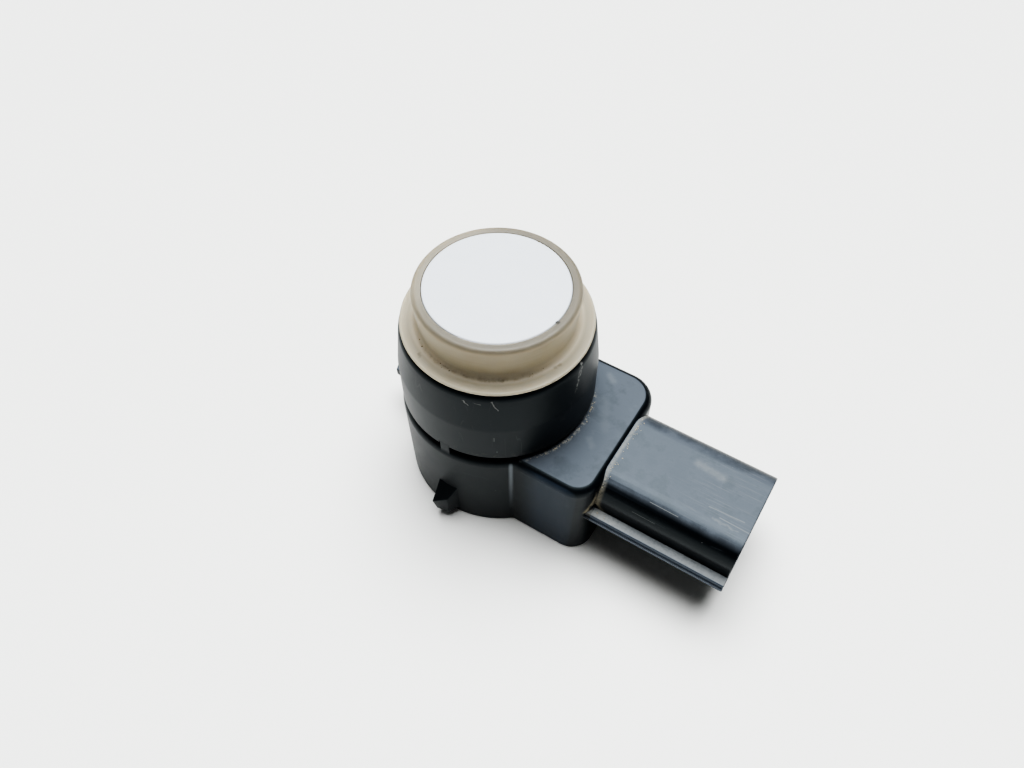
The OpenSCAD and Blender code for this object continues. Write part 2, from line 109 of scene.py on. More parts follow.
class Finish:
    # one node tree, with the nodes that every finish shares
    def __init__(self, name, tree=None):
        if tree is None:
            self.material = bpy.data.materials.new(name)
            self.material.use_nodes = True
            tree = self.material.node_tree
        self.tree = tree
        tree.nodes.clear()

    def node(self, kind, settings=None, sockets=None, out=0):
        made = self.tree.nodes.new("ShaderNode" + kind)
        for key, value in (settings or {}).items():
            setattr(made, key, value)
        for key, value in (sockets or {}).items():
            if isinstance(value, Value):
                self.tree.links.new(value.socket, made.inputs[key])
            else:
                made.inputs[key].default_value = value
        return Value(self, made.outputs[out]) if len(made.outputs) else made

    def math(self, operation, *values):
        return self.node("Math", {"operation": operation}, dict(enumerate(values)))

    def ramp(self, value, low, high):
        # smooth step from 0 at low to 1 at high
        return self.node("MapRange", {"interpolation_type": "SMOOTHSTEP"},
                         {"Value": value, "From Min": low, "From Max": high})

    def band(self, value, low, high, soft):
        # 1 between low and high, with soft ends
        return self.ramp(value, low - soft, low + soft) * self.ramp(value, high + soft, high - soft)

    def near(self, value, place, reach):
        # 1 within half of reach of a place, and 0 beyond reach
        return self.ramp(abs(value - place), reach, 0.5 * reach)

    def mix(self, amount, first, second):
        return self.node("Mix", {"data_type": "RGBA"}, {0: amount, 6: first, 7: second}, 2)

    def vector(self, operation, first, second, out=0):
        # the second input is a number for SCALE and a vector for the others
        key = "Scale" if operation == "SCALE" else 1
        return self.node("VectorMath", {"operation": operation}, {0: first, key: second}, out)

    def millimetres(self):
        self.place = self.vector("SCALE", self.node("TexCoord", out="Object"), 1 / mm)
        parts = self.node("SeparateXYZ", None, {0: self.place}).socket.node.outputs
        self.x, self.y, self.z = (Value(self, part) for part in parts)
        self.r = self.math("SQRT", self.x * self.x + self.y * self.y)
        self.angle = self.math("ARCTAN2", self.y, self.x) * (180 / math.pi)
        self.up = self.node("SeparateXYZ", None, {0: self.node("NewGeometry", out="Normal")}, 2)

    def stretch(self, scale):
        # the place in millimetres, scaled for a pattern
        return self.node("Mapping", {"vector_type": "POINT"}, {0: self.place, "Scale": scale})

    def noise(self, size, detail=3.0, rough=0.5, at=None, out=0):
        return self.node("TexNoise", None, {"Vector": at or self.place, "Scale": 1 / size, "Detail": detail,
                                            "Roughness": rough}, out)

    def warped(self, amount, size):
        # the place, shaken by a noise so that marks get uneven outlines
        shake = self.vector("SUBTRACT", self.noise(size, 3.0, out=1), (0.5, 0.5, 0.5))
        return self.vector("ADD", self.place, self.vector("SCALE", shake, amount))

    def patterns(self, grain, cloud, uneven, shake):
        # what worn finishes share: three noises by their sizes, and the place shaken by amount and size
        self.grain = self.noise(grain, 2.0, 0.6)
        self.cloud = self.noise(cloud, 4.0, 0.6)
        self.uneven = self.noise(uneven, 4.0, 0.65)
        self.shaken = self.warped(*shake)

    def stroke(self, start, end, half, soft, at=None):
        # 1 within half of the line from start to end, fading over soft
        run = np.subtract(end, start)
        offset = self.vector("SUBTRACT", at or self.place, start)
        along = self.vector("DOT_PRODUCT", offset, tuple(run / max(float(run @ run), 1e-6)), "Value")
        foot = self.vector("SCALE", tuple(run), self.node("Clamp", None, {"Value": along}))
        away = self.vector("DISTANCE", offset, foot, "Value")
        return self.ramp(away, half + soft, half)

    def marks(self, rows, onSurface):
        # the strongest of several strokes, whose ends a function puts on the surface
        made = [self.stroke(onSurface(*start), onSurface(*end), half, soft, self.shaken if uneven else None)
                * strength for start, end, half, soft, strength, uneven in rows]
        return self.most(*made)

    def specks(self, size, radius, share):
        # sparse round grains: cells of a Voronoi pattern, of which a share is kept, each with its own size
        cell = self.node("TexVoronoi", None, {"Vector": self.place, "Scale": 1 / size}).socket.node.outputs
        parts = self.node("SeparateColor", None, {0: Value(self, cell["Color"])}).socket.node.outputs
        pick, big = Value(self, parts[0]), Value(self, parts[1])
        away = Value(self, cell["Distance"]) / (0.35 + big)
        return self.ramp(away, radius / size, 0.5 * radius / size) * self.ramp(pick, 1 - share, 1.02 - share)

    def hairlines(self, scale, size, thin):
        # fine scratches: the places where a stretched noise passes its middle value
        return self.ramp(abs(self.noise(size, 2.0, 0.5, self.stretch(scale)) - 0.5), thin, 0.2 * thin)

    def most(self, *masks):
        made = masks[0]
        for mask in masks[1:]:
            made = self.math("MAXIMUM", made, mask)
        return made

    def surface(self, sockets):
        shader = self.node("BsdfPrincipled", None, sockets)
        self.node("OutputMaterial", None, {"Surface": shader})
        return self.material

    def bump(self, height, strength, depth):
        return self.node("Bump", None, {"Height": height, "Strength": strength, "Distance": depth * mm})


def colour(red, green, blue):
    return (red, green, blue, 1.0)


# surfaces: grids of points in millimetres, put into a mesh in metres
def gridFaces(rows, columns):
    # quads of a grid that closes on itself both ways
    index = np.arange(rows * columns).reshape(rows, columns)
    down, right = np.roll(index, -1, 0), np.roll(index, -1, 1)
    return np.stack([index, right, np.roll(down, -1, 1), down], -1).reshape(-1, 4)


def makePiece(name, shells, merge=1e-4):
    # shells: (points, faces) pairs of closed surfaces, merged at their poles and turned outwards
    mesh = bpy.data.meshes.new(name)
    counts = np.cumsum([0] + [len(points) for points, _ in shells])
    points = np.concatenate([points for points, _ in shells]) * mm
    faces = np.concatenate([faces + count for (_, faces), count in zip(shells, counts)])
    mesh.from_pydata(points.tolist(), [], faces.tolist())
    work = bmesh.new()
    work.from_mesh(mesh)
    bmesh.ops.remove_doubles(work, verts=work.verts, dist=merge * mm)
    bmesh.ops.dissolve_degenerate(work, edges=work.edges, dist=merge * mm)
    bmesh.ops.recalc_face_normals(work, faces=work.faces)
    work.to_mesh(mesh)
    work.free()
    piece = bpy.data.objects.new(name, mesh)
    bpy.context.scene.collection.objects.link(piece)
    return piece


def smoothShade(piece, degrees):
    piece.data.shade_smooth()
    piece.data.set_sharp_from_angle(angle=math.radians(degrees))


def arc(centre, radius, first, last, count):
    # points of a circle from one angle to another, in degrees
    t = np.radians(np.linspace(first, last, count))
    return np.stack([centre[0] + radius * np.cos(t), centre[1] + radius * np.sin(t)], -1)


def roundedPath(corners, radii, count, support):
    # closed polygon, anticlockwise, with every corner replaced by an arc of its own radius.
    # Points of an arc are the corner's tangent circle; normals turn evenly from one side to the next.
    p, r = np.asarray(corners, float), np.asarray(radii, float)[:, None]
    into, away = p - np.roll(p, 1, 0), np.roll(p, -1, 0) - p
    into /= np.linalg.norm(into, axis=1, keepdims=True)
    away /= np.linalg.norm(away, axis=1, keepdims=True)
    turn = np.arctan2(into[:, 0] * away[:, 1] - into[:, 1] * away[:, 0], (into * away).sum(1))[:, None]
    side = np.sign(turn)
    reach = r * np.tan(np.abs(turn) / 2)
    centre = p - into * reach + np.stack([-into[:, 1], into[:, 0]], -1) * r * side
    f = np.linspace(0, 1, count)
    heading = np.arctan2(into[:, 1], into[:, 0])[:, None] + turn * f
    normal = np.stack([np.sin(heading), -np.cos(heading)], -1)
    points = centre[:, None] + normal * (r * side)[:, None]
    before = (p - into * (reach + support))[:, None]
    after = (p + away * (reach + support))[:, None]
    points = np.concatenate([before, points, after], 1)
    normal = np.concatenate([normal[:, :1], normal, normal[:, -1:]], 1)
    return points.reshape(-1, 2), normal.reshape(-1, 2)


def softBlock(corners, edge):
    # rounded block: a cube's grid points are drawn in to a smaller box and pushed out again by the edge
    # radius, then carried by a blend of the eight corners (order: x fastest, then y, then z)
    c = np.asarray(corners, float).reshape(2, 2, 2, 3)
    size = np.array([np.linalg.norm(c[:, :, 1] - c[:, :, 0], axis=-1).mean(),
                     np.linalg.norm(c[:, 1] - c[:, 0], axis=-1).mean(),
                     np.linalg.norm(c[1] - c[0], axis=-1).mean()]) / 2
    e = min(edge, 0.9 * size.min())
    bend = e * np.tan(np.radians(np.linspace(0, 45, 5)))  # even steps round the edge's quarter circle
    lines = [np.concatenate([-(k - e + bend)[::-1], [0], k - e + bend]) for k in size]
    n = len(lines[0])
    index = np.arange(n * n).reshape(n, n)
    quad = np.stack([index[:-1, :-1], index[:-1, 1:], index[1:, 1:], index[1:, :-1]], -1).reshape(-1, 4)
    shells, faces = [], []
    for axis in range(3):
        for end in (-1, 1):
            spread = list(np.meshgrid(*[lines[k] for k in range(3) if k != axis]))
            spread.insert(axis, np.full((n, n), end * size[axis]))
            p = np.stack(spread, -1).reshape(-1, 3)
            core = np.clip(p, e - size, size - e)
            out = p - core
            faces.append(quad + len(shells) * n * n)
            shells.append((core + out / np.linalg.norm(out, axis=1, keepdims=True) * e) / size)
    t = (np.concatenate(shells) + 1) / 2
    wx, wy, wz = (np.stack([1 - t[:, k], t[:, k]], -1) for k in range(3))
    return np.einsum("nk,nj,ni,kjid->nd", wz, wy, wx, c), np.concatenate(faces)


# housing: barrel and block, connector shroud, lugs and keys
housingSizes = {
    "barrel": 11.3, "halfBlock": 8.66, "halfFar": 9.58, "blockX": 16.62, "corner": 2.82, "cornerFar": 3.57,
    "creaseR": 0.5, "lean": 0.2, "top": 13.25, "edge": 1.06, "rim": 0.25, "wall": 1.6, "recess": 0.9,
    "recessTop": 1.5, "cavityTop": 11.75, "collar": 9.55, "collarIn": 7.2, "collarTop": 16.5,
    "sealFloor": 8.64, "sealLow": 14.82, "sealHigh": 15.78,
}
coverSizes = {  # the outline that the rear cover fits
    "barrel": 11.05, "halfBlock": 8.35, "halfFar": 8.35, "blockX": 16.4, "corner": 2.2, "cornerFar": 2.2,
    "creaseR": 0.5,
}
shroudSizes = {
    "half": 6.25, "low": 4.6, "top": 13.0, "topR": 2.8, "lowR": 1.6, "wall": 1.2, "mouth": 32.6,
    "floor": 18.05, "start": 15.3, "edge": 0.12, "lead": 0.22, "railTop": 8.5, "railLow": 7.5,
    "railOut": 7.45, "railR": 0.13, "railFootR": 0.16, "railUnderR": 0.12, "lipOut": 7.63, "lipTop": 7.83,
    "lipR": 0.06, "lipFootR": 0.05, "catchLow": 27.5, "catchEnd": 30.1, "catchHalf": 2.0, "catchOut": 1.0,
    "catchSink": 0.3, "catchThin": 0.05, "catchEdge": 0.1,
}
lugSizes = {
    "root": 10.5, "width": 2.9, "out": 1.9, "top": 5.4, "drop": 2.0, "height": 4.4, "cut": 0.6, "point": 1.2,
    "blunt": 0.52, "skew": 0.8, "rearOut": 5.15, "rearTop": 7.0, "rearHeight": 2.6, "edge": 0.09,
    "keyHalf": 0.6, "keyLow": 11.75, "keyTop": 14.6, "keyIn": 9.8, "keyOut": 11.14, "keyEdge": 0.06,
}
# distance in mm from a rounding to the line that holds its shading
hold = {"outline": 0.04, "ring": 0.05, "section": 0.03}


def halfOutline(s, half, corner):
    # from above, for +Y: block front, round corner, block side, crease and barrel
    big, small = s["barrel"], s["creaseR"]
    creaseY = half + small
    creaseX = math.sqrt((big + small) ** 2 - creaseY ** 2)
    start = math.degrees(math.atan2(creaseY, creaseX))
    cornerAt = (s["blockX"] - corner, half - corner)
    front = np.linspace([s["blockX"], 0], [s["blockX"], cornerAt[1] - hold["outline"]], 8)
    turn = arc((0, 0), 1, 0, 90, 15)
    side = np.linspace([cornerAt[0] - hold["outline"], half], [creaseX + hold["outline"], half], 9)
    crease = arc((0, 0), 1, 90, start, 9)
    half180 = arc((0, 0), 1, start, 180, 150)[1:]
    points = np.concatenate([front, turn * corner + cornerAt, side,
                             np.array([creaseX, creaseY]) - crease * small, half180 * big])
    return points, np.concatenate([front * 0 + (1, 0), turn, side * 0 + (0, 1), crease, half180])


def keyholeOutline(s):
    # the far half, then the near half mirrored; both share their first point and the point at 180 degrees
    points, normals = halfOutline(s, s["halfFar"], s["cornerFar"])
    nearPoints, nearNormals = halfOutline(s, s["halfBlock"], s["corner"])
    mirror = np.array([1, -1])
    return (np.concatenate([points, (nearPoints * mirror)[1:-1][::-1]]),
            np.concatenate([normals, (nearNormals * mirror)[1:-1][::-1]]))


def bodyShell(s):
    # rings stacked round one closed section: wall, rounded top edge, plate, collar, cavity and rear recess
    outline, normal = keyholeOutline(s)
    fitted, fittedNormal = keyholeOutline(coverSizes)
    bearing = np.arctan2(outline[:, 1], outline[:, 0])
    aroundAxis = np.stack([np.cos(bearing), np.sin(bearing)], -1)

    def drawnIn(inset, z):
        return np.column_stack([outline - normal * inset, np.full(len(outline), z)])

    def behind(inset, z):
        # drawn in from the outline that the rear cover fits
        return np.column_stack([fitted - fittedNormal * inset, np.full(len(outline), z)])

    def circle(radius, z):
        return np.column_stack([aroundAxis * radius, np.full(len(outline), z)])

    rim = s["rim"] - arc((0, 0), s["rim"], -90, 0, 5) * (1, -1)
    edge = arc((s["edge"], s["top"] - s["edge"]), s["edge"], 180, 90, 9)
    rings = [drawnIn(s["lean"] + inset, z) for inset, z in rim]
    walls = np.linspace(s["rim"] + hold["ring"], s["top"] - s["edge"] - hold["ring"], 9)
    rings += [drawnIn(s["lean"] * (1 - z / walls[-1]), z) for z in walls]
    rings += [drawnIn(inset, z) for inset, z in edge]
    rings += [drawnIn(s["edge"] + hold["outline"], s["top"])]
    rings += [circle(radius, z) for radius, z in (
        (s["collar"] + hold["ring"], s["top"]), (s["collar"], s["top"] + hold["ring"]),
        (s["collar"], s["sealLow"]), (s["sealFloor"], s["sealLow"]),
        (s["sealFloor"], s["sealHigh"]), (s["collar"], s["sealHigh"]),
        (s["collar"], s["collarTop"]), (s["collarIn"], s["collarTop"]), (s["collarIn"], s["cavityTop"]))]
    rings += [behind(s["wall"], s["cavityTop"]), behind(s["wall"], s["recessTop"]),
              behind(s["recess"], s["recessTop"]), behind(s["recess"], 0)]
    rings = np.stack(rings)
    return rings.reshape(-1, 3), gridFaces(*rings.shape[:2])


def shroudShell(s):
    # section with both rails carried along X, rounded at the mouth and hollow down to the socket's floor
    w, out, lip = s["half"], s["railOut"], s["lipOut"]
    right = [(w, s["low"], s["lowR"]), (w, s["railLow"], s["railUnderR"]), (lip, s["railLow"], s["lipR"]),
             (lip, s["lipTop"], s["lipR"]), (out, s["lipTop"], s["lipFootR"]),
             (out, s["railTop"], s["railR"]), (w, s["railTop"], s["railFootR"]), (w, s["top"], s["topR"])]
    ring = np.array(right + [(-y, z, r) for y, z, r in right[::-1]])
    outer, normal = roundedPath(ring[:, :2], ring[:, 2], 9, hold["section"])
    inW, inLow, inTop = w - s["wall"], s["low"] + s["wall"], s["top"] - s["wall"]
    lowR, topR = s["lowR"] - s["wall"], s["topR"] - s["wall"]
    hollow, hollowNormal = roundedPath([(inW, inLow), (inW, inTop), (-inW, inTop), (-inW, inLow)],
                                       [lowR, topR, topR, lowR], 9, hold["section"])
    middle = np.array([0, (s["railTop"] + s["railLow"]) / 2])

    def inwards(grow):
        # the hollow's outline, met by a ray from the middle at each outer point's bearing
        loop = hollow + hollowNormal * grow - middle
        fine = (loop[:, None] + (np.roll(loop, -1, 0) - loop)[:, None]
                * np.linspace(0, 1, 24, endpoint=False)[:, None]).reshape(-1, 2)
        bearing = np.arctan2(fine[:, 1], fine[:, 0])
        order = np.argsort(bearing)
        want = np.arctan2(outer[:, 1] - middle[1], outer[:, 0])
        reach = np.interp(want, bearing[order], np.linalg.norm(fine, axis=1)[order], period=2 * math.pi)
        return middle + np.stack([np.cos(want), np.sin(want)], -1) * reach[:, None]

    def at(x, section):
        return np.column_stack([np.full(len(section), x), section])

    pole = np.repeat(middle[None], len(outer), 0)
    edge = arc((0, 0), s["edge"], 0, 90, 6)
    rings = [at(s["start"], pole), at(s["start"], outer), at(s["mouth"] - s["edge"] - hold["ring"], outer)]
    rings += [at(s["mouth"] - s["edge"] + up, outer - normal * (s["edge"] - side)) for side, up in edge]
    rings += [at(s["mouth"], inwards(s["lead"])), at(s["mouth"] - s["lead"], inwards(0)),
              at(s["floor"] + hold["ring"], inwards(0)), at(s["floor"], inwards(-hold["ring"])),
              at(s["floor"], pole)]
    rings = np.stack(rings)
    faces = gridFaces(*rings.shape[:2])
    return rings.reshape(-1, 3), faces[:-len(outer)]


def lugBlock(s, out, top, height, turn, flip):
    # six-sided tooth that points along +X before it is turned: sloping top, and an end cut back at its foot
    root, tip, half = s["root"], housingSizes["barrel"] + out, s["width"] / 2
    foot = top - height

    def crown(x):
        return top - s["drop"] * (x - housingSizes["barrel"]) / out

    heel = tip - max(s["cut"], s["skew"])
    corners = [(root, -half, foot), (tip - s["cut"], -s["point"], foot),
               (root, half, foot), (heel, s["blunt"], foot),
               (root, -half, crown(root)), (tip, -s["point"], crown(tip)),
               (root, half, crown(root)), (tip - s["skew"], s["blunt"], crown(tip - s["skew"]))]
    points, faces = softBlock(corners, s["edge"])
    a = math.radians(turn)
    points = points @ np.array([[math.cos(a), math.sin(a), 0], [-math.sin(a), math.cos(a), 0], [0, 0, 1]])
    return points * (1, -1 if flip else 1, 1), faces


def boxCorners(low, high):
    return [(x, y, z) for z in (low[2], high[2]) for y in (low[1], high[1]) for x in (low[0], high[0])]


def catchBlock(s):
    # wedge under the shroud that falls towards the mouth
    a, b, half = s["catchLow"], s["catchEnd"], s["catchHalf"]
    root, tip, end = s["low"] + s["catchSink"], s["low"] - s["catchOut"], s["low"] - s["catchThin"]
    return softBlock([(a, -half, tip), (b, -half, end), (a, half, tip), (b, half, end),
                      (a, -half, root), (b, -half, root), (a, half, root), (b, half, root)], s["catchEdge"])


def unite(base, others):
    # one closed mesh from overlapping closed shells
    for other in others:
        joined = base.modifiers.new("join", "BOOLEAN")
        joined.operation, joined.solver, joined.object = "UNION", "EXACT", other
    solid = base.evaluated_get(bpy.context.evaluated_depsgraph_get())
    mesh = bpy.data.meshes.new_from_object(solid)
    base.modifiers.clear()
    old = base.data
    base.data = mesh
    bpy.data.meshes.remove(old)
    mesh.name = base.name
    for other in others:
        mesh = other.data
        bpy.data.objects.remove(other)
        bpy.data.meshes.remove(mesh)


def makeHousing():
    lug = lugSizes
    keyLow = (-lug["keyHalf"], lug["keyIn"], lug["keyLow"])
    keyHigh = (lug["keyHalf"], lug["keyOut"], lug["keyTop"])
    keyPoints, keyFaces = softBlock(boxCorners(keyLow, keyHigh), lug["keyEdge"])
    sideLugs = [lugBlock(lug, lug["out"], lug["top"], lug["height"], -90, flip) for flip in (False, True)]
    rearLug = lugBlock(lug, lug["rearOut"], lug["rearTop"], lug["rearHeight"], 180, False)
    body = makePiece("housingShell", [bodyShell(housingSizes)])
    shells = [shroudShell(shroudSizes), catchBlock(shroudSizes), *sideLugs, rearLug,
              (keyPoints, keyFaces), (keyPoints * (1, -1, 1), keyFaces)]
    unite(body, [makePiece("part", [shell]) for shell in shells])
    smoothShade(body, 38)
    return body


housing = makeHousing()
print("housing:", len(housing.data.polygons), "faces")


# front sleeve: a lathe surface with notches for the keys
sleeveSizes = {
    "bore": 9.6, "low": 14.1, "r": 11.2, "straightTop": 19.2, "topR": 10.6, "top": 24.5, "shoulder": 0.95,
    "edge": 0.12, "notchHalf": 0.64, "notchTop": 14.64, "notchLine": 0.004, "lineLow": 0.2, "lineBore": 0.6,
}
sleeveBend = ((0, -0.25), (-0.004, 0), (-0.03, 0.26))  # radius and height from the top of the straight part


def latheGrid(profile, angles):
    # a closed profile of radius and height carried round Z
    r, z = profile[:, :1], profile[:, 1:]
    return np.stack([r * np.cos(angles), r * np.sin(angles), z + 0 * angles], -1)


def makeSleeve(s):
    lean = math.degrees(math.atan2(s["r"] - s["topR"], s["top"] - s["straightTop"]))
    # the shoulder's arc is tangent to the cone below it and to the flat top
    centreR = s["topR"] - s["shoulder"] * math.cos(math.radians(lean)) \
        + s["shoulder"] * (1 - math.sin(math.radians(lean))) * math.tan(math.radians(lean))
    shoulder = arc((centreR, s["top"] - s["shoulder"]), s["shoulder"], lean, 90, 14)
    lowEdge = arc((s["r"] - s["edge"], s["low"] + s["edge"]), s["edge"], -90, 0, 6)
    # up the straight part, then a soft bend into the cone
    straight = [(s["r"], s["low"] + s["lineLow"])]
    bend = np.add((s["r"], s["straightTop"]), sleeveBend)
    cone = np.linspace(bend[-1], shoulder[0], 6)[1:-1]
    profile = np.concatenate([lowEdge, straight, bend, cone, shoulder,
                              [(s["bore"] + hold["ring"], s["top"]), (s["bore"], s["top"] - hold["ring"]),
                               (s["bore"], s["low"] + s["lineBore"]), (s["bore"], s["low"])]])
    notch = np.arcsin(s["notchHalf"] / s["r"])
    near = notch + s["notchLine"] * np.array([-1, 1])  # radians: a line on both sides of a notch's edge
    angles = np.linspace(-math.pi, math.pi, 300, endpoint=False)
    extra = np.concatenate([side * math.pi / 2 + sign * near for side in (-1, 1) for sign in (-1, 1)])
    angles = np.sort(np.concatenate([angles, extra]))
    grid = latheGrid(profile, angles)
    inNotch = np.abs(np.abs(angles) - math.pi / 2) < notch
    lift = np.where(inNotch, s["notchTop"], -1)
    grid[..., 2] = np.maximum(grid[..., 2], lift)
    piece = makePiece("sleeveShell", [(grid.reshape(-1, 3), gridFaces(*grid.shape[:2]))])
    smoothShade(piece, 40)
    return piece


sleeve = makeSleeve(sleeveSizes)
print("sleeve:", len(sleeve.data.polygons), "faces")


# decoupling ring: lip, neck, flange and skirt of soft silicone
ringSizes = {
    "bore": 7.8, "lip": 6.9, "foot": 8.6, "footTop": 21.05, "footLow": 19.5, "low": 18.5, "skirt": 9.55,
    "flangeLow": 24.5, "flangeR": 10.45, "flangeTop": 24.9, "neckLow": 8.55, "neckTop": 8.87, "top": 29.4,
    "rim": 0.55, "fillet": 0.7, "edge": 0.2, "flatEnd": 0.32, "under": 0.06, "brim": 0.03, "gap": 0.1,
    "meanR": 9.0,
}
ringWaves = ((0.012, 3, 0.4), (0.008, 7, 1.1), (0.006, 13, 2.0))  # height in mm, number round the ring, phase


def makeRing(s):
    # the visible side is neck and flange with soft roundings; slight waves make it look moulded in rubber
    rimZ, filletZ, filletR = s["top"] - s["rim"], s["flangeTop"] + s["fillet"], s["neckLow"] + s["fillet"]
    rim = arc((s["neckTop"] - s["rim"], rimZ), s["rim"], 0, 100, 10)
    neck = np.linspace((s["neckTop"], rimZ - s["gap"]), (s["neckLow"], filletZ), 12)
    fillet = arc((filletR, filletZ), s["fillet"], 180, 270, 9)
    flange = np.linspace((filletR + s["gap"], s["flangeTop"]),
                         (s["flangeR"] - s["flatEnd"], s["flangeTop"]), 8)
    edge = arc((s["flangeR"] - s["edge"], s["flangeTop"] - s["edge"]), s["edge"], 80, -10, 8)
    outside = np.concatenate([rim[::-1], neck, fillet, flange, edge])
    inside = [(s["flangeR"] - s["under"], s["flangeLow"]), (s["skirt"], s["flangeLow"]),
              (s["skirt"], s["low"]), (s["lip"], s["low"]), (s["lip"], s["footLow"]),
              (s["foot"], s["footLow"]), (s["foot"], s["footTop"]),
              (s["bore"], s["footTop"]), (s["bore"], s["top"] - hold["ring"])]
    brim = arc((s["bore"] + s["brim"], s["top"] - s["brim"]), s["brim"], 180, 90, 5)
    profile = np.concatenate([outside, inside, brim])
    angles = np.linspace(-math.pi, math.pi, 288, endpoint=False)
    grid = latheGrid(profile, angles)
    count = len(outside)
    wave = sum(height * np.sin(number * angles + phase) for height, number, phase in ringWaves)
    fade = np.sin(np.linspace(0, math.pi, count))[:, None]
    grid[:count, :, :2] *= (1 + fade * wave / s["meanR"])[..., None]
    piece = makePiece("ringBody", [(grid.reshape(-1, 3), gridFaces(*grid.shape[:2]))])
    smoothShade(piece, 40)
    return piece


ring = makeRing(ringSizes)
print("ring:", len(ring.data.polygons), "faces")


# finishes: their colours
# dirt and wear; the three bluish tones first in this table are partly painted sheen of reflected light
dirtAndSheenTones = {
    "filmAndSheen": colour(0.0745, 0.0845, 0.1005), "wallHazeAndSheen": colour(0.022, 0.031, 0.047),
    "railHazeAndSheen": colour(0.032, 0.043, 0.063), "rub": colour(0.15, 0.165, 0.18),
    "pale": colour(0.30, 0.30, 0.285), "tan": colour(0.30, 0.265, 0.19), "brown": colour(0.085, 0.055, 0.022),
}
blackTones = {
    "deep": colour(0.0012, 0.002, 0.003), "light": colour(0.0025, 0.004, 0.006),
    "gleam": colour(0.82, 0.95, 1.0),
}
# glow and behind are painted light, and front is painted shade
siliconeTones = {
    "dark": colour(0.27, 0.225, 0.145), "light": colour(0.35, 0.305, 0.215),
    "glow": colour(0.52, 0.45, 0.33), "front": colour(0.19, 0.155, 0.10), "behind": colour(0.46, 0.41, 0.31),
    "lip": colour(0.108, 0.099, 0.078), "flange": colour(0.265, 0.234, 0.172),
    "rim": colour(0.33, 0.305, 0.25), "mould": colour(0.17, 0.14, 0.09),
    "bits": colour(0.10, 0.075, 0.045), "crumb": colour(0.02, 0.018, 0.014),
}
# edge is painted shade round the face's rounded rim
paintTones = {
    "dark": colour(0.65, 0.68, 0.72), "light": colour(0.705, 0.73, 0.765),
    "cloud": colour(0.635, 0.665, 0.705), "edge": colour(0.36, 0.36, 0.37),
    "speck": colour(0.40, 0.40, 0.38), "crumb": colour(0.03, 0.028, 0.022),
}

# marks: both ends, half width, soft edge, strength, and 1 where the outline is uneven
shroudSmear = (((24.6, 2.1), (27.6, 1.8), 0.05, 0.75, 1.0, 1),)  # ends as x and y
shroudScratches = (
    ((27.7, -2.15), (31.6, -1.95), 0.02, 0.08, 0.22, 0),
    ((29.2, -2.80), (32.5, -2.90), 0.02, 0.08, 0.26, 0),
    ((28.6, -3.25), (31.5, -3.35), 0.03, 0.18, 0.16, 1),
    ((22.1, -4.79), (25.4, -4.82), 0.01, 0.045, 0.5, 0),
    ((20.8, -6.06), (23.5, -6.07), 0.01, 0.05, 0.25, 0),
)
plateScuffs = (
    ((10.6, 7.6), (11.5, 6.9), 0.05, 0.6, 0.3, 1),
    ((11.9, 4.0), (13.7, 0.6), 0.1, 0.9, 0.12, 1),
    ((12.9, -1.5), (13.6, -2.3), 0.05, 0.6, 0.2, 1),
)
creaseMark = ((7.1, -8.8, 12.6), (7.05, -8.7, 2.9), 0.05, 0.3)  # ends, half width and soft edge alone
cleanSpot = ((16.6, -6.35, 8.7), (16.45, -6.7, 9.0), 0.3, 0.2)
sleeveScratches = (  # ends as angle and height
    ((-76.4, 23.5), (-73.4, 22.95), 0.02, 0.10, 0.4, 1),
    ((-70.5, 23.4), (-66.5, 23.3), 0.015, 0.08, 0.25, 1),
    ((-60.6, 23.8), (-57.8, 22.6), 0.02, 0.10, 0.4, 1),
    ((-59.9, 18.1), (-59.9, 17.5), 0.015, 0.10, 0.22, 0),
    ((-58.5, 15.5), (-58.5, 15.3), 0.015, 0.08, 0.2, 0),
    ((96, 20.4), (104, 21.6), 0.02, 0.10, 0.3, 1),
    ((172, 17.0), (165, 16.2), 0.02, 0.10, 0.3, 1),
)
sleeveSmears = (
    ((-3.0, 24.0), (-6.5, 22.6), 0.12, 0.30, 0.6, 1),
    ((-6.5, 22.6), (-9.8, 21.1), 0.05, 0.20, 0.6, 1),
)
ringBlots = [(start, end, 0.05, 0.28, 1.0, 1) for start, end in (  # ends as radius and angle
    ((8.55, -119.5), (8.5, -116.0)), ((8.45, -115.0), (8.42, -112.0)), ((9.6, -114.0), (9.7, -112.5)),
    ((8.6, -97.0), (8.75, -88.0)), ((8.6, -78.0), (8.65, -67.0)), ((8.75, -63.0), (8.8, -54.0)),
    ((8.6, -35.0), (8.65, -29.0)), ((9.2, -18.0), (9.35, -14.0)), ((8.7, 40.0), (8.6, 52.0)),
    ((8.6, 118.0), (8.7, 127.0)), ((8.8, 168.0), (8.7, 176.0)))]
# a dark crumb between ring and face, ends as x and y
ringCrumb = (((7.82, -1.12), (7.86, -0.95), 0.10, 0.10, 0.9, 0),)
faceCrumb = (((7.66, -1.08), (7.74, -0.92), 0.08, 0.10, 0.9, 0),)


# points on the surfaces that the marks lie on
def polarPoint(radius, angle, z):
    return radius * math.cos(math.radians(angle)), radius * math.sin(math.radians(angle)), z


def shroudHeight(y):
    # height of the shroud's upper side: flat in the middle, then a quarter circle
    s = shroudSizes
    drop = np.clip(np.abs(y) - (s["half"] - s["topR"]), 0, None)
    return s["top"] - s["topR"] + np.sqrt(s["topR"] ** 2 - drop ** 2)


def onShroud(x, y):
    return x, y, float(shroudHeight(y))


def onPlate(x, y):
    return x, y, housingSizes["top"]


def onSleeve(angle, z):
    s = sleeveSizes
    rise = max(z - s["straightTop"], 0) / (s["top"] - s["straightTop"])
    return polarPoint(s["r"] - (s["r"] - s["topR"]) * rise, angle, z)


def onFlange(radius, angle):
    return polarPoint(radius, angle, ringSizes["flangeTop"])


def onFace(x, y):
    return x, y, ringSizes["top"]


